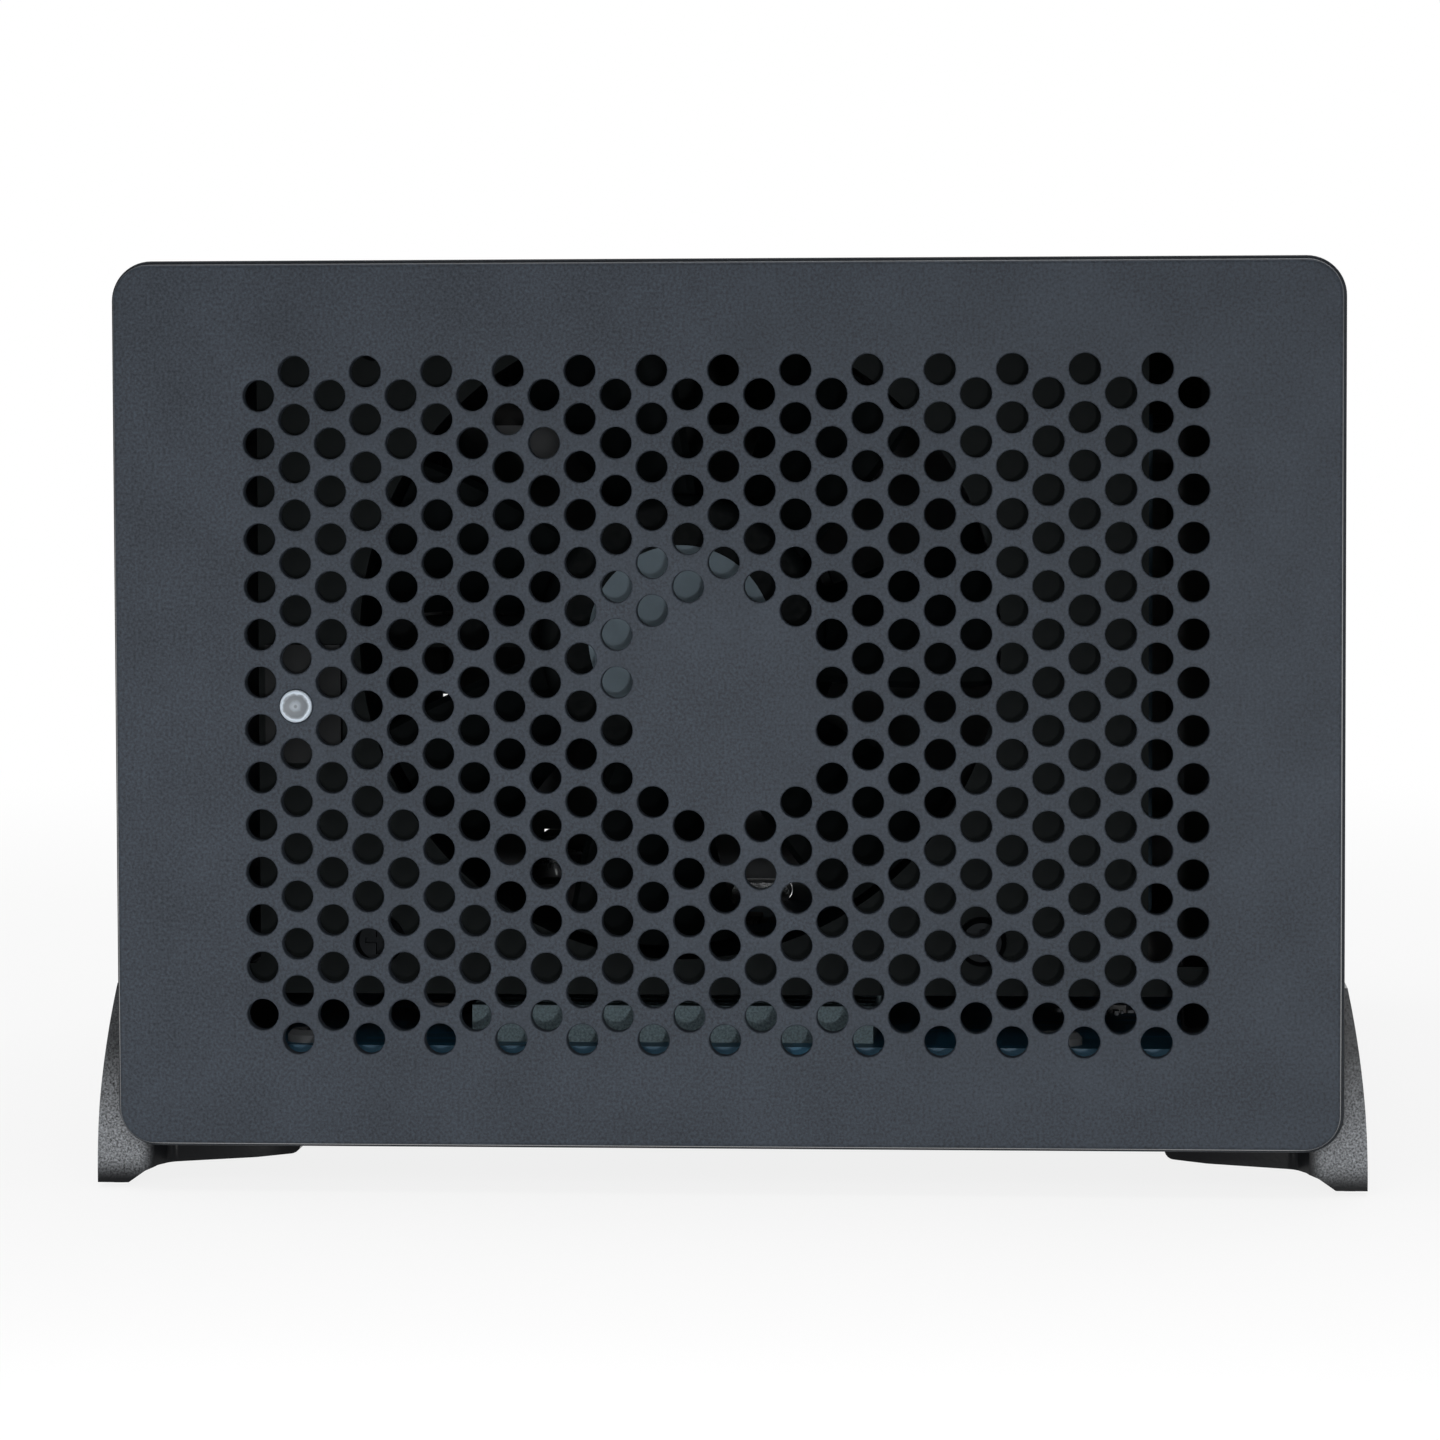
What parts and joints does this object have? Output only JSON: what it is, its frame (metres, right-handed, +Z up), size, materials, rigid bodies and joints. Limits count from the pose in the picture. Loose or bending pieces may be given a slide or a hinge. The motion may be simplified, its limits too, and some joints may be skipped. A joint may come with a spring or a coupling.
{
  "type": "pcie expansion chassis",
  "caption": "Small desktop chassis with a perforated dark metal front, fan and slide-out tray that carries expansion cards outside a computer.",
  "frame": {"origin": "on the floor under the middle of the chassis, midway between front and rear", "axes": "+X to the right seen from the front, front faces -Y, +Z up"},
  "size_m": [0.15, 0.2164, 0.1097],
  "materials": {
    "panel_metal": "dark anodised, fine bead-blasted grain",
    "sleeve_metal": "dark anodised, fine bead-blasted grain",
    "foot_plastic": "coarse spark-eroded texture",
    "pad_rubber": "plain",
    "steel_screw": "zinc plated",
    "black_screw": "black oxide",
    "tray_steel": "zinc plated sheet",
    "black_steel": "black satin powder coat",
    "fan_plastic": "moulded",
    "label_paper": "flat grey-blue",
    "board": "teal solder mask",
    "black_plastic": "moulded",
    "chip_epoxy": "moulded",
    "spreader_metal": "natural anodised",
    "can_metal": "sleeve-less can",
    "port_metal": "bright plated",
    "lens_plastic": "milky, domed",
    "light_plastic": "clear",
    "bush_metal": "sintered",
    "ferrite": "plain",
    "gauze": "fine black weave",
    "black_board": "black solder mask"
  },
  "bodies": {
    "housing": {"front_panel": "panel_metal", "outer_sleeve": "sleeve_metal", "panel_nuts": "steel_screw", "status_lens": "lens_plastic", "foot_screws": "black_screw", "thumbscrew_bracket_left": "tray_steel", "thumbscrew_bracket_right": "tray_steel", "foot_front_left": "foot_plastic", "foot_front_right": "foot_plastic", "foot_pad_front_left": "pad_rubber", "foot_pad_front_right": "pad_rubber", "foot_pad_rear_left": "pad_rubber", "foot_pad_rear_right": "pad_rubber", "foot_rear_left": "foot_plastic", "foot_rear_right": "foot_plastic"},
    "tray": {"tray": "tray_steel", "dust_gauze": "gauze", "fan_bracket": "black_steel", "floor_screws": "steel_screw", "fan_screws": "black_screw", "slot_cover_screws": "steel_screw", "slot_cover_lower": "tray_steel", "slot_cover_upper": "tray_steel", "main_board": "board", "board_standoffs": "steel_screw", "board_screws": "steel_screw", "controller_chip": "chip_epoxy", "heat_spreader": "spreader_metal", "data_port_left": "port_metal", "data_port_right": "port_metal", "power_inlet": "black_plastic", "riser_board": "board", "riser_socket": "black_plastic", "card_slot_lower": "black_plastic", "card_slot_upper": "black_plastic", "riser_bracket": "tray_steel", "riser_spacers": "steel_screw", "riser_screws": "steel_screw", "capacitors": "can_metal", "choke": "ferrite", "light_board": "black_board", "status_light": "light_plastic", "fan_frame": "fan_plastic", "fan_bearing": "bush_metal", "fan_stator": "ferrite"},
    "fan_rotor": {"fan_rotor": "fan_plastic", "fan_shaft": "steel_screw", "fan_magnet": "ferrite", "fan_label": "label_paper"},
    "thumbscrew_left": {"thumbscrew_left": "black_screw"},
    "thumbscrew_right": {"thumbscrew_right": "black_screw"}
  },
  "joints": [
    {"name": "tray_slide", "type": "slide", "parent": "housing", "child": "tray", "axis": [0, 1, 0], "range_m": [0, 0.185]},
    {"name": "fan_spin", "type": "hinge", "parent": "tray", "child": "fan_rotor", "pos_m": [-0.0058, -0.0876, 0.0651], "axis": [0, 1, 0], "continuous": true},
    {"name": "thumbscrew_left_turn", "type": "hinge", "parent": "tray", "child": "thumbscrew_left", "pos_m": [-0.0635, 0.0957, 0.03394], "axis": [0, 1, 0], "continuous": true},
    {"name": "thumbscrew_right_turn", "type": "hinge", "parent": "tray", "child": "thumbscrew_right", "pos_m": [0.0635, 0.0957, 0.03394], "axis": [0, 1, 0], "continuous": true}
  ]
}
